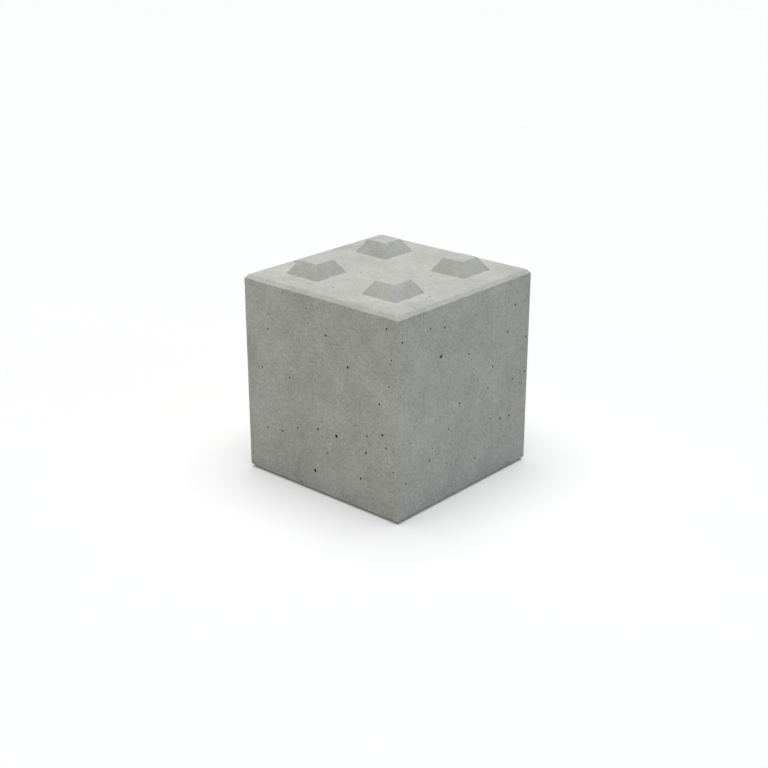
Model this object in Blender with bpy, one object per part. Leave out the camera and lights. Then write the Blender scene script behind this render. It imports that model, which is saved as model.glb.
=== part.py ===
"""Concrete stacking block with pyramid studs on its top and matching pockets in its underside.

Metres, +Z up. The origin is at the middle of the underside, so the block stands on z = 0.
"""

import math

import bmesh
import bpy

# Body
BLOCK_WIDTH = 0.600  # along X
BLOCK_DEPTH = 0.600  # along Y
BODY_HEIGHT = 0.620  # underside to top face, without the studs
TOP_CHAMFER = 0.010  # width of the chamfer round the top face
TOP_CHAMFER_HEIGHT = 0.0112
BOTTOM_CHAMFER = 0.010  # width of the chamfer round the underside
BOTTOM_CHAMFER_HEIGHT = 0.0112
CORNER_RADIUS = 0.001  # rounding of the four upright edges

# Studs: square truncated pyramids, cast with the body
STUD_PITCH = 0.300  # middle to middle, both ways
STUD_BASE = 0.127  # side of the square foot
STUD_TOP = 0.071  # side of the square top
STUD_HEIGHT = 0.040
STUD_CORNER_RADIUS = 0.001  # rounding of the sloping corners
STUD_TOP_EASE = 0.0015  # small bevel round the top
STUD_EDGE_MARGIN = 0.020  # least flat left between a stud and the block's chamfer

# Pockets: each takes the stud of the block below
POCKET_SIDE_CLEARANCE = 0.006  # level gap between a stud's side and the pocket's wall
POCKET_ROOF_CLEARANCE = 0.006  # gap between a stud's top and the pocket's roof
POCKET_MOUTH_EASE = 0.004  # width and height of the bevel round the mouth

# Modelling aids
ROOT_DEPTH = 0.015  # how far a stud's root reaches into the body before they are joined
CUTTER_OVERRUN = 0.010  # how far a pocket's cutter starts below the underside
CORNER_STEPS = 3  # flats in each rounded corner

CONCRETE_COLOUR = (0.33, 0.34, 0.31, 1.0)
CONCRETE_ROUGHNESS = 0.9
CONCRETE_METALLIC = 0.0


def clear_scene():
    """Removes the objects that the file opened with."""
    for thing in list(bpy.data.objects):
        bpy.data.objects.remove(thing, do_unlink=True)


def concrete():
    """The material of the whole casting."""
    material = bpy.data.materials.new("concrete")
    material.use_nodes = True
    shader = material.node_tree.nodes["Principled BSDF"]
    shader.inputs["Base Color"].default_value = CONCRETE_COLOUR
    shader.inputs["Roughness"].default_value = CONCRETE_ROUGHNESS
    shader.inputs["Metallic"].default_value = CONCRETE_METALLIC
    return material


def ring(bm, middle, half_x, half_y, radius, z):
    """A level rectangle with rounded corners, as a loop of points that runs anticlockwise."""
    points = []
    for corner in range(4):
        start = corner * math.pi / 2
        side_x = 1 if corner in (0, 3) else -1
        side_y = 1 if corner in (0, 1) else -1
        for step in range(CORNER_STEPS + 1):
            angle = start + step / CORNER_STEPS * math.pi / 2
            x = middle[0] + side_x * (half_x - radius) + radius * math.cos(angle)
            y = middle[1] + side_y * (half_y - radius) + radius * math.sin(angle)
            points.append(bm.verts.new((x, y, z)))
    return points


def loft(bm, rings):
    """Closes a stack of rings, lowest first, into one solid with its faces pointing out."""
    bm.faces.new(reversed(rings[0]))
    bm.faces.new(rings[-1])
    for lower, upper in zip(rings, rings[1:]):
        for i in range(len(lower)):
            j = (i + 1) % len(lower)
            bm.faces.new((lower[i], lower[j], upper[j], upper[i]))


def make_object(name, bm):
    """Turns the mesh into an object of this name in the scene."""
    mesh = bpy.data.meshes.new(name)
    bm.to_mesh(mesh)
    bm.free()
    thing = bpy.data.objects.new(name, mesh)
    bpy.context.scene.collection.objects.link(thing)
    return thing


def make_body():
    """The block without studs or pockets."""
    half_x = BLOCK_WIDTH / 2
    half_y = BLOCK_DEPTH / 2
    top = BODY_HEIGHT
    bm = bmesh.new()
    levels = (
        (0.0, BOTTOM_CHAMFER),
        (BOTTOM_CHAMFER_HEIGHT, 0.0),
        (top - TOP_CHAMFER_HEIGHT, 0.0),
        (top, TOP_CHAMFER),
    )
    rings = [ring(bm, (0.0, 0.0), half_x - inset, half_y - inset, CORNER_RADIUS, z) for z, inset in levels]
    loft(bm, rings)
    return make_object("concrete_block", bm)


def places_along(length, chamfer):
    """Where studs stand along one side: as many as fit at the pitch, centred."""
    room = length - 2 * (chamfer + STUD_EDGE_MARGIN) - STUD_BASE
    count = max(1, 1 + int(room / STUD_PITCH + 1e-6))
    return [(i - (count - 1) / 2) * STUD_PITCH for i in range(count)]


def stud_places():
    """The middle of each stud, and of the pocket below it."""
    chamfer = max(TOP_CHAMFER, BOTTOM_CHAMFER)
    columns = places_along(BLOCK_WIDTH, chamfer)
    rows = places_along(BLOCK_DEPTH, chamfer)
    return [(x, y) for x in columns for y in rows]


def stud_half(height):
    """Half of a stud's side at this height above its foot."""
    return (STUD_BASE + (STUD_TOP - STUD_BASE) * height / STUD_HEIGHT) / 2


def make_studs():
    """All studs with their roots, as one mesh to be joined to the body."""
    bm = bmesh.new()
    shoulder = STUD_HEIGHT - STUD_TOP_EASE
    levels = (
        (-ROOT_DEPTH, stud_half(0.0)),
        (0.0, stud_half(0.0)),
        (shoulder, stud_half(shoulder)),
        (STUD_HEIGHT, stud_half(STUD_HEIGHT) - STUD_TOP_EASE),
    )
    for place in stud_places():
        loft(bm, [ring(bm, place, half, half, STUD_CORNER_RADIUS, BODY_HEIGHT + z) for z, half in levels])
    return make_object("studs_to_join", bm)


def make_pocket_cutters():
    """All pockets, as one mesh to be cut from the body."""
    bm = bmesh.new()
    radius = STUD_CORNER_RADIUS + POCKET_SIDE_CLEARANCE
    roof = STUD_HEIGHT + POCKET_ROOF_CLEARANCE
    mouth = stud_half(0.0) + POCKET_SIDE_CLEARANCE
    levels = (
        (-CUTTER_OVERRUN, mouth + POCKET_MOUTH_EASE),
        (0.0, mouth + POCKET_MOUTH_EASE),
        (POCKET_MOUTH_EASE, stud_half(POCKET_MOUTH_EASE) + POCKET_SIDE_CLEARANCE),
        (roof, stud_half(roof) + POCKET_SIDE_CLEARANCE),
    )
    for place in stud_places():
        loft(bm, [ring(bm, place, half, half, radius, z) for z, half in levels])
    return make_object("pockets_to_cut", bm)


def combine(body, other, operation):
    """Joins other to the body, or cuts it from the body, and leaves other as a guide."""
    other.hide_render = True
    other.display_type = "WIRE"
    boolean = body.modifiers.new(other.name, "BOOLEAN")
    boolean.operation = operation
    boolean.solver = "EXACT"
    boolean.object = other


def main():
    """Builds the block."""
    clear_scene()
    block = make_body()
    combine(block, make_studs(), "UNION")
    combine(block, make_pocket_cutters(), "DIFFERENCE")
    block.data.materials.append(concrete())


main()
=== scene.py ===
"""Finish, floor, light and camera for a cast concrete stacking block.

Lengths are in metres. The frame is the block's own: +Z up, with the origin at the middle of the underside.
"""

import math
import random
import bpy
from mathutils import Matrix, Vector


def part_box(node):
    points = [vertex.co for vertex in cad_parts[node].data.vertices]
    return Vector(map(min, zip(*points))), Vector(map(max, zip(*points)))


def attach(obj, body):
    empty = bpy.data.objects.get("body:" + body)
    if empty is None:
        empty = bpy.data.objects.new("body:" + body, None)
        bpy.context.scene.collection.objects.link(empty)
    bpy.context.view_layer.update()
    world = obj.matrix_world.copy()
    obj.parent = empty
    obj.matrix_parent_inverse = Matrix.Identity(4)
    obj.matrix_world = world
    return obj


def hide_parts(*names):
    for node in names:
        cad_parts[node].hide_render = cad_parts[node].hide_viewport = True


bl_info = {
    "name": "Concrete Stacking Block",
    "version": (1, 0, 0),
    "blender": (4, 5, 0),
    "location": "3D View > Sidebar > Block",
    "description": "Casts a concrete stacking block with blowholes and a plain studio round it",
    "category": "Object",
}

import bpy
import numpy as np
from bpy.props import FloatProperty, FloatVectorProperty, IntProperty, PointerProperty
from mathutils import Vector, noise
from mathutils.geometry import delaunay_2d_cdt

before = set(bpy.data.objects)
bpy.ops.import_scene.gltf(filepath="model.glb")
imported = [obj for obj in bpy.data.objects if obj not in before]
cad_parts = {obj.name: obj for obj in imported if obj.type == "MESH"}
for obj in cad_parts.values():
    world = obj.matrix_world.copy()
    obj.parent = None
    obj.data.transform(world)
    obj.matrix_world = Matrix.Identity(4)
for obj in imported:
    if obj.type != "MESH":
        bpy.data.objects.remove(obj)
CAST_LOW, CAST_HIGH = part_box("concrete_block")
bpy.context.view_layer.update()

STUD_HEIGHT = 0.040
MM = 0.001

# Material slots of the cast surface; the blowholes' walls take a dark colour that paints the shade in them
STRUCK, BED, HOLE_SHADE = range(3)

# Flats in each rounded corner and arris
CORNER_STEPS = 3
ARRIS_STEPS = 2

# How much of the wear a point takes: on an edge's crest, and beside it
CREST = 1.0
BESIDE_CREST = 0.5
SHARP_ANGLE = math.radians(8)

# Mesh of a flat. The first three are shares of a facet's length.
JITTER = 0.16  # how far a point may be out of line
EDGE_GAP = 0.5  # least from a flat's edge to a point
RIM_GAP = 0.3  # least from a blowhole's rim to a point
SWELL = 0.03  # how far a straight edge is bowed out, as a share of the flat's size
KEEP_INSIDE = 1  # the triangulation gives the triangles inside its outline
MERGE_DISTANCE = 1e-8

# A blowhole's wall: rows with the share of its rim and the depth as a share of its radius
FINE_WALL = ((1.0, 0.0), (0.92, 0.75))
WIDE_WALL = ((1.0, 0.0), (1.10, 0.45), (1.0, 0.95), (0.6, 1.4))
FLOOR_DROP = 0.2  # from the last row to the middle of the floor
FINE_RIM = 8  # points in a row
WIDE_RIM = 14
FINE_RADIUS = 0.0016  # a blowhole below this radius is a fine one
RAGGED_THREE = 0.07  # how far the rim strays, three times round
RAGGED_FIVE = 0.05  # and five times round

# Scattered blowholes
LONGEST_STRETCH = 1.5  # length over width
TILT_SPREAD = 0.5  # in radians, either side of upright
EDGE_CLEARANCE = (1.6, 0.001)  # least to the flat's edge: share of its half length, plus metres
HOLE_CLEARANCE = (1.5, 0.0008)  # the same, to another blowhole
FEWER_ON_STUDS = 2  # how many times fewer there are in a square metre, also in the pockets
FEWER_ON_TOPS = 3
TALL_BAND = 0.080  # only a taller band takes the listed blowholes

# Noises that sink and chip the surface: scale and strength
HOLLOWS = ((7.0, 0.45), (27.0, 0.25), (63.0, 0.2))
HOLLOW_LEVEL = 0.5
CHIPS = ((45.0, 1.0), (140.0, 0.6))
CHIP_LEVEL = 0.2

# Paint
SPECULAR_LEVEL = 0.35
CLOUD_EVENNESS = 0.95
COARSE_GRAIN_SCALE = 0.31  # against the scale of the fine grain
GRAIN_ROUGHNESS = 0.08  # how far the grain varies the roughness
FINER_ABOVE = 0.6085  # in metres: the top chamfer, the top and the studs have a finer grain
FINER_SHARE = 0.5
# Painted light: the top chamfer and the studs' sides, sloping up towards the light, are painted paler; the
# crests are paler from wear
SLOPING_Z = 0.62  # upward part of the normal on the top chamfer and the studs' sides
SLOPING_SPREAD = 0.12  # how far it may be from that
WEAR_AND_LIGHT_COLOUR = (0.62, 0.62, 0.59)
WEAR_AND_LIGHT_SHARE = 0.11

# Painted shade: the faces darken towards the foot, darkest along the bottom chamfer where the floor's shadow
# falls: reach up the face, raggedness, strongest share and colour
PAINTED_FOOT_SHADE = (
    (0.5, 0.12, 0.06, (0.10, 0.10, 0.09)),
    (0.06, 0.02, 0.035, (0.10, 0.10, 0.09)),
    (0.014, 0.006, 0.42, (0.08, 0.08, 0.075)),
)

# Floor and backdrop
FLOOR_ROUGHNESS = 0.9
FLOOR_SPECULAR = 0.1
FLOOR_CLOUD_SIZE = 0.8
FLOOR_CLOUD_EVENNESS = 0.5
FLOOR_CLOUDS = 0.01
BACKDROP_STRENGTH = 0.95

# Blowholes that show in the photograph: along the face, up the face, length and width in millimetres, and
# tilt in degrees. On the face at -Y the first number is X, on the face at +X it is Y. On the top they are X
# and Y.
HOLES_MINUS_Y = (
    (65, 207, 11, 9.5, 100),
    (-24, 71, 10.5, 9, 80),
    (112, 431, 8, 7.5, 90),
    (242, 262, 8, 7.5, 20),
    (28, 506, 10.5, 4.5, 160),
    (158, 102, 7, 6.5, 0),
    (179, 189, 8, 6.5, 90),
    (-9, 208, 8, 7, 90),
    (257, 578, 8.5, 4.5, 80),
    (-157, 160, 7, 6, 0),
    (230, 352, 7.5, 5, 80),
    (184, 242, 7, 5, 90),
    (-121, 340, 6.5, 4.5, 110),
    (46, 485, 5, 4.5, 0),
    (139, 262, 6, 4.5, 90),
    (29, 143, 7.5, 6, 110),
    (256, 226, 6.5, 6, 90),
    (-221, 154, 7.5, 4, 90),
    (-236, 345, 6, 5, 0),
    (274, 492, 6, 4, 90),
    (-209, 471, 5.5, 4.5, 70),
    (269, 480, 4.5, 4, 0),
    (282, 159, 5.5, 4.5, 90),
    (-93, 189, 7, 5.5, 20),
    (-204, 519, 5, 4, 90),
    (266, 413, 5, 4, 30),
    (283, 223, 4, 3, 90),
    (-82, 16, 8, 5, 5),
    (-47, 570, 4.5, 3.5, 20),
    (8, 593, 3.5, 3, 0),
    (24, 595, 3.5, 3, 90),
    (-138, 595, 3.5, 2.5, 70),
    (-24, 584, 3.5, 2.5, 0),
    (-295, 516, 4, 3, 90),
    (-269, 457, 3, 2.5, 0),
    (-99, 525, 3, 2.5, 90),
    (-246, 286, 3, 3, 0),
    (6, 236, 4.5, 3.5, 90),
    (93, 206, 3.5, 2.5, 0),
    (216, 255, 3.5, 3, 0),
    (258, 325, 4, 3, 80),
    (-238, 182, 3, 2.5, 0),
    (-135, 116, 4, 3, 90),
    (-112, 88, 3.5, 3, 0),
    (-221, 75, 3, 2.5, 0),
    (-250, 38, 4.5, 3.5, 0),
    (184, 103, 3, 2.5, 90),
    (139, 42, 4.5, 3.5, 90),
)
HOLES_PLUS_X = (
    (-118, 459, 13, 8, 25),
    (-103, 542, 7, 5.5, 80),
    (-284, 545, 6.5, 5.5, 0),
    (169, 180, 8.5, 6.5, 80),
    (-163, 156, 11, 4, 60),
    (286, 300, 6.5, 6, 90),
    (195, 451, 8, 6, 80),
    (216, 175, 7.5, 7, 0),
    (-165, 553, 6, 5, 0),
    (227, 526, 6.5, 6, 0),
    (287, 411, 7, 6.5, 90),
    (228, 291, 6.5, 5.5, 0),
    (-30, 291, 6.5, 6, 0),
    (9, 432, 6, 5.5, 0),
    (50, 90, 6.5, 5.5, 80),
    (125, 360, 7, 5, 90),
    (92, 154, 6.5, 4.5, 60),
    (-84, 119, 6, 4.5, 90),
    (266, 266, 5.5, 4, 90),
    (104, 297, 6.5, 5, 0),
    (-266, 119, 6, 3.5, 90),
    (119, 195, 6.5, 4.5, 70),
    (217, 16, 6, 4, 5),
    (203, 595, 5, 3, 0),
    (145, 550, 4, 3, 90),
    (22, 412, 4, 3.5, 0),
    (33, 379, 4.5, 3.5, 90),
    (88, 210, 4.5, 3.5, 0),
    (-79, 224, 5, 4, 0),
    (-119, 274, 3.5, 3, 0),
    (-151, 189, 5, 4, 80),
    (41, 102, 4, 3.5, 90),
    (-59, 34, 4, 3, 0),
    (-97, 28, 4, 3, 90),
    (291, 145, 4, 3, 90),
    (-247, 238, 4.5, 3.5, 20),
)
HOLES_TOP = (
    (-278, -108, 8.5, 6, 40),
    (244, -103, 4.5, 4, 0),
    (-55, -62, 5.5, 4, 30),
    (125, 46, 5, 4, 0),
    (20, 59, 4.5, 3.5, 60),
    (-14, -223, 6.5, 5.5, 0),
    (242, 59, 4.5, 4, 90),
    (227, 224, 4.5, 3.5, 0),
    (-72, -150, 4.5, 3.5, 0),
)


class BlockShape(bpy.types.PropertyGroup):
    """Sizes of the casting."""

    width: FloatProperty(
        name="Width", description="Size along X", default=CAST_HIGH.x - CAST_LOW.x, unit="LENGTH"
    )
    depth: FloatProperty(
        name="Depth", description="Size along Y", default=CAST_HIGH.y - CAST_LOW.y, unit="LENGTH"
    )
    height: FloatProperty(
        name="Height", description="Underside to top face", default=CAST_HIGH.z - STUD_HEIGHT, unit="LENGTH"
    )
    chamfer: FloatProperty(
        name="Chamfer", description="Width of the chamfer at both ends", default=0.010, unit="LENGTH"
    )
    chamfer_height: FloatProperty(
        name="Chamfer Height", description="Height of the chamfer at both ends", default=0.0112, unit="LENGTH"
    )
    corner_radius: FloatProperty(
        name="Corner", description="Rounding of the upright edges", default=0.0004, unit="LENGTH"
    )
    stud_pitch: FloatProperty(
        name="Stud Pitch", description="Middle to middle of two studs", default=0.300, unit="LENGTH"
    )
    stud_base: FloatProperty(
        name="Stud Foot", description="Side of a stud's square foot", default=0.127, unit="LENGTH"
    )
    stud_top: FloatProperty(
        name="Stud Top", description="Side of a stud's square top", default=0.071, unit="LENGTH"
    )
    stud_height: FloatProperty(
        name="Stud Height", description="Top face to a stud's top", default=STUD_HEIGHT, unit="LENGTH"
    )
    pocket_clearance: FloatProperty(
        name="Pocket Clearance",
        description="Gap round and over a stud in its pocket",
        default=0.006,
        unit="LENGTH",
    )
    pocket_ease: FloatProperty(
        name="Pocket Mouth", description="Bevel round a pocket's mouth", default=0.004, unit="LENGTH"
    )


class ConcreteFinish(bpy.types.PropertyGroup):
    """How the cast surface came out of the mould."""

    facet: FloatProperty(
        name="Facet", description="Length of the mesh's facets on the flats", default=0.007, unit="LENGTH"
    )
    arris_radius: FloatProperty(
        name="Arris", description="Rounding of the chamfers' edges", default=0.0006, unit="LENGTH"
    )
    arris_wear: FloatProperty(
        name="Wear", description="Deepest wear along the edges", default=0.00015, unit="LENGTH"
    )
    unevenness: FloatProperty(
        name="Unevenness", description="Deepest hollow in the flats", default=0.0002, unit="LENGTH"
    )
    smallest_hole: FloatProperty(
        name="Smallest Blowhole", description="Radius of the finest blowholes", default=0.0006, unit="LENGTH"
    )
    largest_hole: FloatProperty(
        name="Largest Blowhole",
        description="Radius of the widest scattered blowholes",
        default=0.0036,
        unit="LENGTH",
    )
    fine_limit: FloatProperty(
        name="Fine Limit",
        description="Widest scattered blowhole on a face whose large ones are placed by hand",
        default=0.0012,
        unit="LENGTH",
    )
    holes_per_metre: FloatProperty(
        name="Blowholes", description="Scattered blowholes in a square metre of upright face", default=420.0
    )
    seed: IntProperty(name="Seed", description="Start of the random draws", default=11)
    colour: FloatVectorProperty(
        name="Concrete", description="Colour of the dry face", subtype="COLOR", size=3,
        default=(0.446, 0.443, 0.420),
    )
    bed_colour: FloatVectorProperty(
        name="Bed", description="Colour of the underside and pockets", subtype="COLOR", size=3,
        default=(0.36, 0.355, 0.325),
    )
    # Painted shade: the dark colour inside the blowholes stands in for the shade in them
    hole_shade_colour: FloatVectorProperty(
        name="Hole Shade", description="Colour inside the blowholes", subtype="COLOR", size=3,
        default=(0.115, 0.115, 0.107),
    )
    cloud_size: FloatProperty(
        name="Clouds", description="Length of the widest cloudy patches", default=0.16, unit="LENGTH"
    )
    grain_size: FloatProperty(
        name="Grain", description="Length of the sand grain", default=0.0042, unit="LENGTH"
    )


class StudioSettings(bpy.types.PropertyGroup):
    """Floor, light and camera."""

    floor_size: FloatProperty(name="Floor", description="Side of the floor", default=90.0, unit="LENGTH")
    floor_colour: FloatVectorProperty(
        name="Floor Colour", description="Pale floor", subtype="COLOR", size=3, default=(0.69, 0.69, 0.69)
    )
    floor_glow: FloatProperty(
        name="Floor Glow", description="The floor's own light, as of a light table", default=0.145
    )
    overhead_strength: FloatProperty(
        name="Overhead", description="Strength of the wide light overhead", default=3.76
    )
    overhead_spread: FloatProperty(
        name="Overhead Spread", description="Width of the light overhead", default=math.radians(56),
        unit="ROTATION",
    )
    warm_strength: FloatProperty(
        name="Warm Fill Strength", description="Strength of the light on the face at -Y", default=0.08
    )
    cool_strength: FloatProperty(
        name="Cool Fill Strength", description="Strength of the light on the face at +X", default=0.158
    )
    back_strength: FloatProperty(
        name="Back Fill Strength", description="Strength of the light on the faces behind", default=0.10
    )
    fill_spread: FloatProperty(
        name="Fill Spread", description="Width of each fill light", default=math.radians(50), unit="ROTATION"
    )
    warm_fill: FloatVectorProperty(
        name="Warm Fill", description="Light on the face at -Y", subtype="COLOR", size=3,
        default=(1.0, 0.96, 0.08),
    )
    cool_fill: FloatVectorProperty(
        name="Cool Fill", description="Light on the face at +X", subtype="COLOR", size=3,
        default=(0.10, 0.68, 1.0),
    )
    haze: FloatProperty(name="Haze", description="Even light from all round", default=0.005)
    camera_place: FloatVectorProperty(
        name="Camera", description="Where the camera stands", size=3, unit="LENGTH",
        default=(2.5556, -2.9094, 1.7948),
    )
    camera_aim: FloatVectorProperty(
        name="Aim", description="Point that the camera looks at", size=3, unit="LENGTH",
        default=(-0.0099, -0.0088, 0.2631),
    )
    lens: FloatProperty(name="Lens", description="Focal length in millimetres", default=64.08, unit="CAMERA")


class Skin:
    """The cast surface's points and faces, as they are gathered."""

    def __init__(self):
        self.points = []
        self.outward = []
        self.arris = []
        self.faces = []
        self.slots = []

    def point(self, place, arris=0.0, outward=None):
        """Adds a point and gives its number. arris is the share of the edges' wear that it takes."""
        self.points.append(Vector(place))
        self.outward.append(outward)
        self.arris.append(arris)
        return len(self.points) - 1

    def face(self, corners, slot):
        """Adds a face that runs anticlockwise seen from outside."""
        self.faces.append(tuple(corners))
        self.slots.append(slot)

    def strip(self, lower, upper, slot, flip):
        """Joins two rows of points with quads."""
        for i in range(len(lower) - 1):
            corners = (lower[i], lower[i + 1], upper[i + 1], upper[i])
            self.face(reversed(corners) if flip else corners, slot)


class Level:
    """One level loop round a square form: four rounded corners and, if wanted, the points between them."""

    def __init__(self, skin, middle, section, radius, counts=None):
        half_x, half_y, z, arris = section
        self.corners = []
        self.sides = []
        for corner in range(4):
            side_x = 1 if corner in (0, 3) else -1
            side_y = 1 if corner in (0, 1) else -1
            arc = []
            for step in range(CORNER_STEPS + 1):
                angle = (corner + step / CORNER_STEPS) * math.pi / 2
                x = middle[0] + side_x * (half_x - radius) + radius * math.cos(angle)
                y = middle[1] + side_y * (half_y - radius) + radius * math.sin(angle)
                worn = max(arris, CREST if 0 < step < CORNER_STEPS else BESIDE_CREST)
                arc.append(skin.point((x, y, z), worn))
            self.corners.append(arc)
        if counts:
            for side in range(4):
                self.sides.append(self.between(skin, side, counts[side % 2], arris))

    def between(self, skin, side, count, arris):
        """The points along one side, with the ends of the two corners."""
        first = self.corners[side][-1]
        last = self.corners[(side + 1) % 4][0]
        start, end = skin.points[first], skin.points[last]
        middle = [skin.point(start.lerp(end, i / count), arris) for i in range(1, count)]
        return [first, *middle, last]

    def loop(self):
        """All points, anticlockwise seen from above."""
        return [p for corner, side in zip(self.corners, self.sides) for p in corner + side[1:-1]]


class Blowhole:
    """A bubble that broke through a flat: place on the flat, half length, half width and tilt."""

    def __init__(self, place, half_length, half_width, tilt, phase):
        self.place = place
        self.half_length = half_length
        self.half_width = half_width
        self.tilt = tilt
        self.phase = phase

    def rim(self, angle, share):
        """A point of the rim, scaled about the middle by share."""
        ragged = 1 + RAGGED_THREE * math.sin(3 * angle + self.phase)
        ragged += RAGGED_FIVE * math.sin(5 * angle + 2 * self.phase)
        along = self.half_length * math.cos(angle) * ragged * share
        across = self.half_width * math.sin(angle) * ragged * share
        c, s = math.cos(self.tilt), math.sin(self.tilt)
        return self.place[0] + along * c - across * s, self.place[1] + along * s + across * c

    def sink(self, skin, flat):
        """Makes the bubble's wall and gives the points of its rim."""
        size = (self.half_length + self.half_width) / 2
        fine = size < FINE_RADIUS
        count = FINE_RIM if fine else WIDE_RIM
        rows = FINE_WALL if fine else WIDE_WALL
        rings = []
        for share, depth in rows:
            places = [self.rim(2 * math.pi * i / count, share) for i in range(count)]
            rings.append([skin.point(flat.at(p, depth * size), outward=flat.normal) for p in places])
        for outer, inner in zip(rings, rings[1:]):
            skin.strip(inner + inner[:1], outer + outer[:1], HOLE_SHADE, flip=True)
        floor = skin.point(flat.at(self.place, (rows[-1][1] + FLOOR_DROP) * size), outward=flat.normal)
        last = rings[-1]
        for i in range(count):
            skin.face((last[i], last[(i + 1) % count], floor), HOLE_SHADE)
        return rings[0]


class Flat:
    """A flat part of the surface, seen in its own two axes."""

    def __init__(self, skin, loops, u, v, slot):
        self.skin = skin
        self.loops = loops
        self.u = u
        self.v = v
        self.normal = u.cross(v)
        self.height = skin.points[loops[0][0]].dot(self.normal)
        self.slot = slot
        self.outlines = [self.flatten(loop) for loop in loops]

    def flatten(self, loop):
        """The loop's points in the flat's two axes."""
        return np.array([(self.skin.points[p].dot(self.u), self.skin.points[p].dot(self.v)) for p in loop])

    def at(self, place, depth=0.0):
        """The point in space at this place, sunk by depth."""
        return self.u * place[0] + self.v * place[1] + self.normal * (self.height - depth)

    def area(self):
        """Area inside the outer loop, less the holes."""
        total = 0.0
        for i, outline in enumerate(self.outlines):
            x, y = outline[:, 0], outline[:, 1]
            size = abs(np.dot(x, np.roll(y, -1)) - np.dot(y, np.roll(x, -1))) / 2
            total += size if i == 0 else -size
        return total

    def room(self, places):
        """How far each place is from the nearest edge, and below nought outside the flat."""
        inside = np.ones(len(places), bool)
        least = np.full(len(places), np.inf)
        for i, outline in enumerate(self.outlines):
            start, end = outline, np.roll(outline, -1, axis=0)
            run = end - start
            offset = places[:, None, :] - start[None]
            share = np.clip((offset * run).sum(-1) / (run * run).sum(-1), 0, 1)
            gap = np.linalg.norm(offset - share[..., None] * run, axis=-1).min(axis=1)
            least = np.minimum(least, gap)
            above = start[:, 1] > places[:, 1:2]
            crosses = above != (end[:, 1] > places[:, 1:2])
            with np.errstate(divide="ignore", invalid="ignore"):
                at_x = start[:, 0] + offset[..., 1] / run[:, 1] * run[:, 0]
            odd = ((crosses & (places[:, 0:1] < at_x)).sum(axis=1) % 2) == 1
            inside &= odd if i == 0 else ~odd
        return np.where(inside, least, -least)

    def lattice(self, facet, rng):
        """Evenly spread places over the flat, a little out of line."""
        low, high = self.outlines[0].min(axis=0), self.outlines[0].max(axis=0)
        row_gap = facet * math.sqrt(3) / 2
        places = []
        for row in range(1, int((high[1] - low[1]) / row_gap) + 1):
            shift = 0.5 * (row % 2)
            for column in range(int((high[0] - low[0]) / facet) + 1):
                x = low[0] + (column + shift + rng.uniform(-JITTER, JITTER)) * facet
                y = low[1] + (row + rng.uniform(-JITTER, JITTER)) * row_gap
                places.append((x, y))
        if not places:
            return np.zeros((0, 2))
        places = np.array(places)
        return places[self.room(places) > EDGE_GAP * facet]

    def fill(self, facet, holes, rng):
        """Sinks the blowholes and covers the rest with triangles."""
        places = self.lattice(facet, rng)
        rims = []
        for hole in holes:
            rims.append(hole.sink(self.skin, self))
            reach = hole.half_length + RIM_GAP * facet
            if len(places):
                places = places[np.linalg.norm(places - np.array(hole.place), axis=1) > reach]
        rings = self.loops + rims
        numbers = [p for ring in rings for p in ring]
        owner = [i for i, ring in enumerate(rings) for _ in ring]
        flat_places = [tuple(p) for ring in rings for p in self.flatten(ring)]
        edges = []
        start = 0
        for ring in rings:
            count = len(ring)
            edges += [(start + i, start + (i + 1) % count) for i in range(count)]
            start += count
        for place in places:
            numbers.append(self.skin.point(self.at(place), outward=self.normal))
            owner.append(-1)
            flat_places.append(tuple(place))
        swelled = self.swell(np.array(flat_places))
        corners = [Vector(p) for p in swelled]
        covered = delaunay_2d_cdt(corners, edges, [], KEEP_INSIDE, MERGE_DISTANCE, True)
        triangles, origins = covered[2:4]
        source = [origin[0] for origin in origins]
        bounds = {}
        for triangle in triangles:
            a, b, c = (source[i] for i in triangle)
            ring = owner[a]
            if ring == owner[b] == owner[c] and ring >= 0:
                if ring not in bounds:
                    bounds[ring] = [swelled[i] for i, holder in enumerate(owner) if holder == ring]
                if encloses(bounds[ring], (swelled[a] + swelled[b] + swelled[c]) / 3) != (ring == 0):
                    continue
            ab, ac = swelled[b] - swelled[a], swelled[c] - swelled[a]
            face = (a, b, c) if ab[0] * ac[1] > ab[1] * ac[0] else (a, c, b)
            self.skin.face([numbers[i] for i in face], self.slot)

    def swell(self, places):
        """Bows straight edges out a little, so that no thin triangle forms along a row of points."""
        middle = self.outlines[0].mean(axis=0)
        offset = places - middle
        reach = np.abs(self.outlines[0] - middle).max()
        return middle + offset * (1 + SWELL * (1 - (offset**2).sum(axis=1, keepdims=True) / (2 * reach**2)))


def encloses(outline, place):
    """Whether the place is inside the outline."""
    inside = False
    for (x0, y0), (x1, y1) in zip(outline, outline[1:] + outline[:1]):
        if (y0 > place[1]) != (y1 > place[1]) and place[0] < x0 + (place[1] - y0) / (y1 - y0) * (x1 - x0):
            inside = not inside
    return inside


def rounded(corners, radius):
    """Rounds the inner corners of a profile. Each point is (half size, height, worn)."""
    profile = [(*corners[0], 0.0)]
    for before, corner, after in zip(corners, corners[1:], corners[2:]):
        corner = Vector(corner)
        back = (Vector(before) - corner).normalized()
        on = (Vector(after) - corner).normalized()
        half_turn = (math.pi - back.angle(on)) / 2
        cut = radius * math.tan(half_turn)
        start, end = corner + back * cut, corner + on * cut
        for step in range(ARRIS_STEPS + 1):
            share = step / ARRIS_STEPS
            bend = start * (1 - share) ** 2 + corner * 2 * share * (1 - share) + end * share**2
            profile.append((bend.x, bend.y, CREST if 0 < step < ARRIS_STEPS else BESIDE_CREST))
    profile.append((*corners[-1], 0.0))
    return profile


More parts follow.
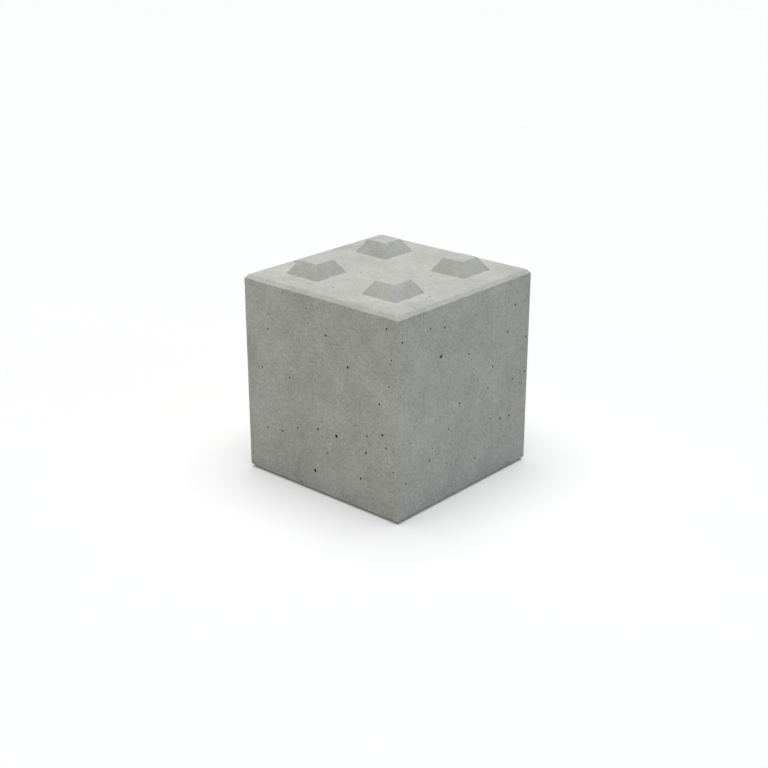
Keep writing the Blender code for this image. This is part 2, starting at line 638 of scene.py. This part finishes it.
def scatter(flat, named, density, largest, finish, rng):
    """The blowholes of one flat: the named ones, and fine ones at random clear of them."""
    holes = []
    for along, up, length, width, tilt in named:
        phase = rng.uniform(0, 2 * math.pi)
        place = (along * MM, up * MM)
        holes.append(Blowhole(place, length * MM / 2, width * MM / 2, math.radians(tilt), phase))
    count = int(density * flat.area())
    low, high = flat.outlines[0].min(axis=0), flat.outlines[0].max(axis=0)
    tries = np.array([(rng.uniform(low[0], high[0]), rng.uniform(low[1], high[1])) for _ in range(count)])
    if not count:
        return holes
    for place, room in zip(tries, flat.room(tries)):
        size = finish.smallest_hole * (largest / finish.smallest_hole) ** (rng.random() ** 2)
        stretch = rng.uniform(1.0, LONGEST_STRETCH)
        tilt = rng.gauss(math.pi / 2, TILT_SPREAD)
        phase = rng.uniform(0, 2 * math.pi)
        if room < EDGE_CLEARANCE[0] * size * stretch + EDGE_CLEARANCE[1]:
            continue
        gaps = [math.dist(place, hole.place) - hole.half_length for hole in holes]
        if min(gaps, default=1.0) < HOLE_CLEARANCE[0] * size * stretch + HOLE_CLEARANCE[1]:
            continue
        holes.append(Blowhole(tuple(place), size * stretch, size, tilt, phase))
    return holes


def cover(flat, named, density, largest, finish, rng):
    """Gives a flat its blowholes and its facets."""
    flat.fill(finish.facet, scatter(flat, named, density, largest, finish, rng), rng)


def make_band(skin, middle, sections, radius, slot, finish, rng, flip=False, named=None, density=0.0):
    """Wraps a band round a square form, from the first section to the last, and gives its two end loops."""
    counts = [max(1, round(2 * half / finish.facet)) for half in sections[0][:2]]
    lower = Level(skin, middle, sections[0], radius, counts)
    first = lower
    for below, above in zip(sections, sections[1:]):
        gap = math.dist(below[:3], above[:3])
        rows = max(1, round(gap / finish.facet))
        steps = []
        for row in range(1, rows):
            share = row / rows
            section = [a + (b - a) * share for a, b in zip(below[:3], above[:3])]
            steps.append(Level(skin, middle, (*section, 0.0), radius))
        upper = Level(skin, middle, above, radius, counts)
        chain = [lower, *steps, upper]
        for a, b in zip(chain, chain[1:]):
            for corner in range(4):
                skin.strip(a.corners[corner], b.corners[corner], slot, flip)
        for side in range(4):
            if rows == 1:
                skin.strip(lower.sides[side], upper.sides[side], slot, flip)
                continue
            right = [step.corners[(side + 1) % 4][0] for step in steps]
            left = [step.corners[side][-1] for step in steps]
            outline = lower.sides[side] + right + upper.sides[side][::-1] + left[::-1]
            flat = side_flat(skin, outline, lower.sides[side], upper.sides[side], slot, flip)
            placed = (named or {}).get(side, ()) if gap > TALL_BAND else ()
            largest = finish.fine_limit if placed else finish.largest_hole
            cover(flat, placed, density, largest, finish, rng)
        lower = upper
    return first.loop(), lower.loop()


def side_flat(skin, outline, lower, upper, slot, flip):
    """The flat between two sides of a band."""
    start, end = skin.points[lower[0]], skin.points[lower[-1]]
    u = (end - start).normalized()
    rise = (skin.points[upper[0]] + skin.points[upper[-1]] - start - end) / 2
    v = (rise - u * rise.dot(u)).normalized()
    return Flat(skin, [outline], -u if flip else u, v, slot)


def stud_places(shape):
    """The middle of each stud and of the pocket below it."""
    half = shape.stud_pitch / 2
    return [(x, y) for x in (-half, half) for y in (-half, half)]


def cast_body(skin, shape, finish, rng):
    """The upright faces and the chamfers. Gives the loops round the underside and round the top face."""
    ease = finish.arris_radius
    top = shape.height
    corners = (
        (-shape.chamfer - ease, 0.0),
        (-shape.chamfer, 0.0),
        (0.0, shape.chamfer_height),
        (0.0, top - shape.chamfer_height),
        (-shape.chamfer, top),
        (-shape.chamfer - ease, top),
    )
    half_x, half_y = shape.width / 2, shape.depth / 2
    profile = rounded(corners, finish.arris_radius)
    sections = [(half_x + inset, half_y + inset, z, worn) for inset, z, worn in profile]
    named = {2: HOLES_MINUS_Y, 3: HOLES_PLUS_X}
    return make_band(
        skin, (0.0, 0.0), sections, shape.corner_radius, STRUCK, finish, rng,
        named=named, density=finish.holes_per_metre,
    )


def cast_stud(skin, shape, finish, place, rng):
    """One stud. Gives the loop round its foot."""
    ease = finish.arris_radius
    foot, top = shape.stud_base / 2, shape.stud_top / 2
    low, high = shape.height, shape.height + shape.stud_height
    profile = rounded(((foot + ease, low), (foot, low), (top, high), (top - ease, high)), ease)
    sections = [(half, half, z, worn) for half, z, worn in profile]
    density = finish.holes_per_metre / FEWER_ON_STUDS
    foot_loop, top_loop = make_band(
        skin, place, sections, shape.corner_radius, STRUCK, finish, rng, density=density
    )
    cap = Flat(skin, [top_loop], Vector((1, 0, 0)), Vector((0, 1, 0)), STRUCK)
    cover(cap, (), finish.holes_per_metre / FEWER_ON_TOPS, finish.fine_limit, finish, rng)
    return foot_loop


def cast_pocket(skin, shape, finish, place, rng):
    """One pocket. Gives the loop round its mouth."""
    ease = finish.arris_radius
    slope = (shape.stud_base - shape.stud_top) / 2 / shape.stud_height
    mouth = shape.stud_base / 2 + shape.pocket_clearance
    roof_height = shape.stud_height + shape.pocket_clearance
    roof = mouth - slope * roof_height
    corners = (
        (mouth + shape.pocket_ease + ease, 0.0),
        (mouth + shape.pocket_ease, 0.0),
        (mouth - slope * shape.pocket_ease, shape.pocket_ease),
        (roof, roof_height),
        (roof - ease, roof_height),
    )
    sections = [(half, half, z, worn) for half, z, worn in rounded(corners, ease)]
    radius = shape.corner_radius + shape.pocket_clearance
    density = finish.holes_per_metre / FEWER_ON_STUDS
    mouth_loop, roof_loop = make_band(
        skin, place, sections, radius, BED, finish, rng, flip=True, density=density
    )
    roof_flat = Flat(skin, [roof_loop], Vector((-1, 0, 0)), Vector((0, 1, 0)), BED)
    cover(roof_flat, (), density, finish.fine_limit, finish, rng)
    return mouth_loop


def cast_surface(shape, finish):
    """The whole surface of the block, closed."""
    rng = random.Random(finish.seed)
    skin = Skin()
    underside_loop, top_loop = cast_body(skin, shape, finish, rng)
    feet = [cast_stud(skin, shape, finish, place, rng) for place in stud_places(shape)]
    mouths = [cast_pocket(skin, shape, finish, place, rng) for place in stud_places(shape)]
    top = Flat(skin, [top_loop, *feet], Vector((1, 0, 0)), Vector((0, 1, 0)), STRUCK)
    cover(top, HOLES_TOP, finish.holes_per_metre / FEWER_ON_TOPS, finish.fine_limit, finish, rng)
    underside = Flat(skin, [underside_loop, *mouths], Vector((-1, 0, 0)), Vector((0, 1, 0)), BED)
    cover(underside, (), finish.holes_per_metre, finish.largest_hole, finish, rng)
    return skin


def layered_noise(place, layers):
    """Noises of several scales, added up."""
    return sum(strength * noise.noise(place * scale) for scale, strength in layers)


def wear(mesh, skin, finish):
    """Sinks the flats a little unevenly and wears the edges, always inwards."""
    normals = [vertex.normal.copy() for vertex in mesh.vertices]
    for vertex, normal, outward, arris in zip(mesh.vertices, normals, skin.outward, skin.arris):
        place = vertex.co.copy()
        hollow = HOLLOW_LEVEL + layered_noise(place, HOLLOWS)
        depth = finish.unevenness * min(max(hollow, 0.0), 1.0)
        if arris > 0:
            chip = CHIP_LEVEL + layered_noise(place, CHIPS)
            depth += finish.arris_wear * arris * min(max(chip, 0.0), 1.0)
        vertex.co = place - (outward or normal) * depth


class BLOCK_OT_cast(bpy.types.Operator):
    """Casts the concrete block: its faces, studs, pockets, worn edges and blowholes"""

    bl_idname = "block.cast"
    bl_label = "Cast Block"

    def execute(self, context):
        """Makes the piece that stands for the plain solid."""
        shape, finish = context.scene.block_shape, context.scene.block_finish
        skin = cast_surface(shape, finish)
        mesh = bpy.data.meshes.new("cast_block")
        mesh.from_pydata([tuple(p) for p in skin.points], [], skin.faces)
        if mesh.validate():
            raise RuntimeError("the cast surface has faces that cross or repeat")
        crests = [float(worn == CREST) for worn in skin.arris]
        mesh.attributes.new("crest", "FLOAT", "POINT").data.foreach_set("value", crests)
        mesh.polygons.foreach_set("material_index", skin.slots)
        mesh.shade_smooth()
        wear(mesh, skin, finish)
        mesh.set_sharp_from_angle(angle=SHARP_ANGLE)
        mesh.update()
        for material in (struck_concrete(finish), bed_concrete(finish), blowhole_shade(finish)):
            mesh.materials.append(material)
        piece = bpy.data.objects.new("cast_block", mesh)
        context.scene.collection.objects.link(piece)
        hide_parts("concrete_block")
        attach(piece, "root")
        return {"FINISHED"}


def add_node(tree, kind, inputs=(), **settings):
    """A new node with these settings and input values."""
    node = tree.nodes.new(kind)
    for name, value in settings.items():
        setattr(node, name, value)
    for key, value in dict(inputs).items():
        if isinstance(value, bpy.types.NodeSocket):
            tree.links.new(value, node.inputs[key])
        else:
            node.inputs[key].default_value = value
    return node


def maths(tree, operation, *values):
    """A Math node's result."""
    return add_node(tree, "ShaderNodeMath", enumerate(values), operation=operation).outputs[0]


def new_group(name, inputs, outputs):
    """An empty node group with these sockets, and its two ends."""
    tree = bpy.data.node_groups.new(name, "ShaderNodeTree")
    for socket, kind in inputs:
        tree.interface.new_socket(socket, in_out="INPUT", socket_type=kind)
    for socket, kind in outputs:
        tree.interface.new_socket(socket, in_out="OUTPUT", socket_type=kind)
    return tree, tree.nodes.new("NodeGroupInput").outputs, tree.nodes.new("NodeGroupOutput").inputs


def cloudy_tone():
    """Node group: soft patches of lighter and darker paste, from wide clouds to fine mottling."""
    found = bpy.data.node_groups.get("Cloudy Tone")
    if found:
        return found
    tree, given, result = new_group(
        "Cloudy Tone",
        (
            ("Position", "NodeSocketVector"),
            ("Cloud Size", "NodeSocketFloat"),
            ("Evenness", "NodeSocketFloat"),
        ),
        (("Tone", "NodeSocketFloat"),),
    )
    scale = maths(tree, "DIVIDE", 1.0, given["Cloud Size"])
    clouds = add_node(
        tree,
        "ShaderNodeTexNoise",
        {"Vector": given["Position"], "Scale": scale, "Detail": 6.0, "Roughness": given["Evenness"]},
    )
    centred = maths(tree, "SUBTRACT", clouds.outputs["Fac"], 0.5)
    tree.links.new(maths(tree, "MULTIPLY", centred, 2.0), result["Tone"])
    return tree


def sand_grain():
    """Node group: fine sand in the skin, as a tone and as a height."""
    found = bpy.data.node_groups.get("Sand Grain")
    if found:
        return found
    tree, given, result = new_group(
        "Sand Grain",
        (
            ("Position", "NodeSocketVector"),
            ("Grain Size", "NodeSocketFloat"),
            ("Finer Above", "NodeSocketFloat"),
            ("Finer Share", "NodeSocketFloat"),
        ),
        (("Fleck", "NodeSocketFloat"), ("Height", "NodeSocketFloat")),
    )
    scale = maths(tree, "DIVIDE", 1.0, given["Grain Size"])
    grain = add_node(
        tree,
        "ShaderNodeTexNoise",
        {"Vector": given["Position"], "Scale": scale, "Detail": 1.0, "Roughness": 0.6},
    )
    coarse_scale = maths(tree, "MULTIPLY", scale, COARSE_GRAIN_SCALE)
    coarse = add_node(
        tree,
        "ShaderNodeTexNoise",
        {"Vector": given["Position"], "Scale": coarse_scale, "Detail": 1.0, "Roughness": 0.5},
    )
    parts = add_node(tree, "ShaderNodeSeparateXYZ", {0: given["Position"]})
    above = maths(tree, "GREATER_THAN", parts.outputs["Z"], given["Finer Above"])
    coarseness = maths(tree, "MULTIPLY_ADD", above, maths(tree, "SUBTRACT", given["Finer Share"], 1.0), 1.0)
    centred = maths(tree, "SUBTRACT", grain.outputs["Fac"], 0.5)
    fleck = maths(tree, "MULTIPLY", maths(tree, "MULTIPLY", centred, 2.0), coarseness)
    tree.links.new(fleck, result["Fleck"])
    height = maths(tree, "ADD", coarse.outputs["Fac"], grain.outputs["Fac"])
    tree.links.new(maths(tree, "MULTIPLY", height, coarseness), result["Height"])
    return tree


def painted_foot_shade():
    """Node group: painted shade that darkens the face towards the ground, strongest on the lowest edge."""
    found = bpy.data.node_groups.get("Painted Foot Shade")
    if found:
        return found
    tree, given, result = new_group(
        "Painted Foot Shade",
        (
            ("Position", "NodeSocketVector"),
            ("Reach", "NodeSocketFloat"),
            ("Raggedness", "NodeSocketFloat"),
        ),
        (("Mask", "NodeSocketFloat"),),
    )
    parts = add_node(tree, "ShaderNodeSeparateXYZ", {0: given["Position"]})
    edge = add_node(
        tree,
        "ShaderNodeTexNoise",
        {"Vector": given["Position"], "Scale": 9.0, "Detail": 4.0, "Roughness": 0.6},
    )
    shift = maths(tree, "MULTIPLY", maths(tree, "SUBTRACT", edge.outputs["Fac"], 0.5), given["Raggedness"])
    height = maths(tree, "ADD", parts.outputs["Z"], shift)
    share = maths(tree, "DIVIDE", height, given["Reach"])
    fade = add_node(
        tree,
        "ShaderNodeMapRange",
        {"Value": share, "From Min": 0.0, "From Max": 1.0, "To Min": 1.0, "To Max": 0.0},
        interpolation_type="SMOOTHSTEP",
    )
    tree.links.new(fade.outputs["Result"], result["Mask"])
    return tree


def fed(tree, group, inputs):
    """A group, placed in a material with its inputs set or linked."""
    return add_node(tree, "ShaderNodeGroup", inputs, node_tree=group)


def concrete(name, colour, finish, clouds, grain, roughness, relief, finer=(1.0, 1.0)):
    """A concrete material. clouds and grain are shares of the colour, and relief is the grain's height.

    finer is the height that the grain is finer above, and by what share.
    """
    material = bpy.data.materials.new(name)
    material.use_nodes = True
    tree = material.node_tree
    shader = tree.nodes["Principled BSDF"]
    shader.inputs["Specular IOR Level"].default_value = SPECULAR_LEVEL
    position = add_node(tree, "ShaderNodeTexCoord").outputs["Object"]
    tone = fed(
        tree,
        cloudy_tone(),
        {"Position": position, "Cloud Size": finish.cloud_size, "Evenness": CLOUD_EVENNESS},
    )
    sand = fed(
        tree,
        sand_grain(),
        {
            "Position": position,
            "Grain Size": finish.grain_size,
            "Finer Above": finer[0],
            "Finer Share": finer[1],
        },
    )
    cloud_share = maths(tree, "MULTIPLY_ADD", tone.outputs["Tone"], clouds, 1.0)
    share = maths(tree, "MULTIPLY_ADD", sand.outputs["Fleck"], grain, cloud_share)
    tinted = add_node(tree, "ShaderNodeVectorMath", operation="SCALE")
    tinted.inputs[0].default_value = colour
    tree.links.new(share, tinted.inputs["Scale"])
    rough = maths(tree, "MULTIPLY_ADD", sand.outputs["Fleck"], GRAIN_ROUGHNESS, roughness)
    tree.links.new(rough, shader.inputs["Roughness"])
    height = sand.outputs["Height"]
    bump = add_node(tree, "ShaderNodeBump", {"Height": height, "Distance": relief, "Strength": 1.0})
    tree.links.new(bump.outputs["Normal"], shader.inputs["Normal"])
    return material, tree, shader, position, tinted.outputs[0]


def mixed(tree, mask, under, over):
    """Colour over laid on colour under by a mask."""
    node = add_node(tree, "ShaderNodeMix", data_type="RGBA")
    tree.links.new(mask, node.inputs["Factor"])
    for key, colour in (("A", under), ("B", over)):
        socket = next(s for s in node.inputs if s.name == key and s.type == "RGBA")
        if isinstance(colour, bpy.types.NodeSocket):
            tree.links.new(colour, socket)
        else:
            socket.default_value = (*colour, 1.0)
    return next(s for s in node.outputs if s.type == "RGBA")


def struck_concrete(finish):
    """The faces struck from the mould: cloudy and grained, pale on worn edges, with painted light on the
    upward slopes and painted shade towards the foot.
    """
    material, tree, shader, position, colour = concrete(
        "struck concrete", finish.colour, finish, clouds=0.50, grain=0.42, roughness=0.86, relief=0.0018,
        finer=(FINER_ABOVE, FINER_SHARE),
    )
    worn = add_node(tree, "ShaderNodeAttribute", attribute_name="crest").outputs["Fac"]
    normal = add_node(tree, "ShaderNodeNewGeometry").outputs["True Normal"]
    facing = add_node(tree, "ShaderNodeSeparateXYZ", {0: normal})
    # Painted light: faces whose normal points up at this slope are painted paler, as the overhead light falls
    # on them; the crests are paler from wear
    slope = maths(tree, "COMPARE", facing.outputs["Z"], SLOPING_Z, SLOPING_SPREAD)
    pale = maths(tree, "MULTIPLY", maths(tree, "MAXIMUM", worn, slope), WEAR_AND_LIGHT_SHARE)
    colour = mixed(tree, pale, colour, WEAR_AND_LIGHT_COLOUR)
    # Painted shade: the faces are darkened towards the foot and most along the bottom chamfer, as under the
    # floor's shadow
    for reach, raggedness, strongest, tint in PAINTED_FOOT_SHADE:
        shade_layer = fed(tree, painted_foot_shade(), {"Position": position, "Reach": reach, "Raggedness": raggedness})
        colour = mixed(tree, maths(tree, "MULTIPLY", shade_layer.outputs["Mask"], strongest), colour, tint)
    tree.links.new(colour, shader.inputs["Base Color"])
    return material


def plain_concrete(name, tint, finish, **look):
    """A concrete without pale edges or stains."""
    material, tree, shader, _, colour = concrete(name, tint, finish, **look)
    tree.links.new(colour, shader.inputs["Base Color"])
    return material


def bed_concrete(finish):
    """The underside and the pockets: duller, and dusty from the ground."""
    return plain_concrete(
        "bed concrete", finish.bed_colour, finish, clouds=0.45, grain=0.35, roughness=0.92, relief=0.0008
    )


def blowhole_shade(finish):
    """Inside the blowholes: a dark colour that paints the shade the light hardly reaches."""
    return plain_concrete(
        "blowhole painted shade", finish.hole_shade_colour, finish, clouds=0.3, grain=0.5, roughness=0.95, relief=0.0003
    )


def add_sun(name, towards, strength, spread, colour):
    """A wide, soft light that shines in one direction."""
    light = bpy.data.lights.new(name, "SUN")
    light.energy = strength
    light.angle = spread
    light.color = colour
    lamp = bpy.data.objects.new(name, light)
    lamp.rotation_mode = "QUATERNION"
    lamp.rotation_quaternion = Vector(towards).to_track_quat("-Z", "Y")
    bpy.context.scene.collection.objects.link(lamp)


def floor_paint(colour, glow):
    """Plain pale floor, faintly lit from below, with a barely uneven tone."""
    material = bpy.data.materials.new("floor paint")
    material.use_nodes = True
    tree = material.node_tree
    shader = tree.nodes["Principled BSDF"]
    shader.inputs["Roughness"].default_value = FLOOR_ROUGHNESS
    shader.inputs["Specular IOR Level"].default_value = FLOOR_SPECULAR
    shader.inputs["Emission Color"].default_value = (1.0, 1.0, 1.0, 1.0)
    shader.inputs["Emission Strength"].default_value = glow
    position = add_node(tree, "ShaderNodeTexCoord").outputs["Object"]
    tone = fed(
        tree,
        cloudy_tone(),
        {"Position": position, "Cloud Size": FLOOR_CLOUD_SIZE, "Evenness": FLOOR_CLOUD_EVENNESS},
    )
    tinted = add_node(tree, "ShaderNodeVectorMath", operation="SCALE")
    tinted.inputs[0].default_value = colour
    share = maths(tree, "MULTIPLY_ADD", tone.outputs["Tone"], FLOOR_CLOUDS, 1.0)
    tree.links.new(share, tinted.inputs["Scale"])
    tree.links.new(tinted.outputs[0], shader.inputs["Base Color"])
    return material


class BLOCK_OT_stage(bpy.types.Operator):
    """Lays the pale floor, hangs the soft lights and sets the camera"""

    bl_idname = "block.stage"
    bl_label = "Set Stage"

    def execute(self, context):
        """Makes the floor, the lights, the background and the camera."""
        scene, studio = context.scene, context.scene.block_studio
        half = studio.floor_size / 2
        mesh = bpy.data.meshes.new("floor")
        corners = [(-half, -half, 0), (half, -half, 0), (half, half, 0), (-half, half, 0)]
        mesh.from_pydata(corners, [], [(0, 1, 2, 3)])
        mesh.materials.append(floor_paint(studio.floor_colour, studio.floor_glow))
        floor = bpy.data.objects.new("floor", mesh)
        scene.collection.objects.link(floor)

        add_sun("overhead", (0, 0, -1), studio.overhead_strength, studio.overhead_spread, (1, 1, 1))
        add_sun("fill at -Y", (0, 1, -0.4), studio.warm_strength, studio.fill_spread, studio.warm_fill)
        add_sun("fill at +X", (-1, 0, -0.4), studio.cool_strength, studio.fill_spread, studio.cool_fill)
        add_sun("fill behind", (0.7, -0.7, -0.4), studio.back_strength, studio.fill_spread, (1, 1, 1))
        self.set_background(scene, studio)
        self.set_camera(scene, studio)
        scene.view_settings.view_transform = "Standard"
        return {"FINISHED"}

    def set_background(self, scene, studio):
        """A pale backdrop that gives only a little light."""
        world = bpy.data.worlds.new("haze")
        scene.world = world
        world.use_nodes = True
        tree = world.node_tree
        light = tree.nodes["Background"]
        light.inputs["Color"].default_value = (1, 1, 1, 1)
        light.inputs["Strength"].default_value = studio.haze
        seen = add_node(tree, "ShaderNodeBackground", {"Color": (1, 1, 1, 1), "Strength": BACKDROP_STRENGTH})
        path = add_node(tree, "ShaderNodeLightPath")
        both = add_node(tree, "ShaderNodeMixShader", {0: path.outputs["Is Camera Ray"]})
        tree.links.new(light.outputs[0], both.inputs[1])
        tree.links.new(seen.outputs[0], both.inputs[2])
        tree.links.new(both.outputs[0], tree.nodes["World Output"].inputs["Surface"])

    def set_camera(self, scene, studio):
        """The camera, at the photograph's angle."""
        camera = bpy.data.objects.new("camera", bpy.data.cameras.new("camera"))
        scene.collection.objects.link(camera)
        camera.data.lens = studio.lens
        camera.location = studio.camera_place
        camera.rotation_mode = "QUATERNION"
        aim = Vector(studio.camera_aim) - Vector(studio.camera_place)
        camera.rotation_quaternion = aim.to_track_quat("-Z", "Y")
        scene.camera = camera


class BLOCK_PT_sidebar(bpy.types.Panel):
    """The block's sizes, finish and studio"""

    bl_label = "Concrete Block"
    bl_space_type = "VIEW_3D"
    bl_region_type = "UI"
    bl_category = "Block"

    def draw(self, context):
        """Lists the settings over the two operators."""
        scene = context.scene
        for group in (scene.block_shape, scene.block_finish, scene.block_studio):
            box = self.layout.box()
            for name in group.__annotations__:
                box.prop(group, name)
        self.layout.operator(BLOCK_OT_cast.bl_idname)
        self.layout.operator(BLOCK_OT_stage.bl_idname)


CLASSES = (BlockShape, ConcreteFinish, StudioSettings, BLOCK_OT_cast, BLOCK_OT_stage, BLOCK_PT_sidebar)


def register():
    """Adds the classes and the scene's settings."""
    for item in CLASSES:
        bpy.utils.register_class(item)
    bpy.types.Scene.block_shape = PointerProperty(type=BlockShape)
    bpy.types.Scene.block_finish = PointerProperty(type=ConcreteFinish)
    bpy.types.Scene.block_studio = PointerProperty(type=StudioSettings)


def unregister():
    """Removes what register added."""
    del bpy.types.Scene.block_studio
    del bpy.types.Scene.block_finish
    del bpy.types.Scene.block_shape
    for item in reversed(CLASSES):
        bpy.utils.unregister_class(item)


def main():
    """Casts the block and sets the stage."""
    register()
    bpy.ops.block.cast()
    bpy.ops.block.stage()


if __name__ == "__main__":
    main()
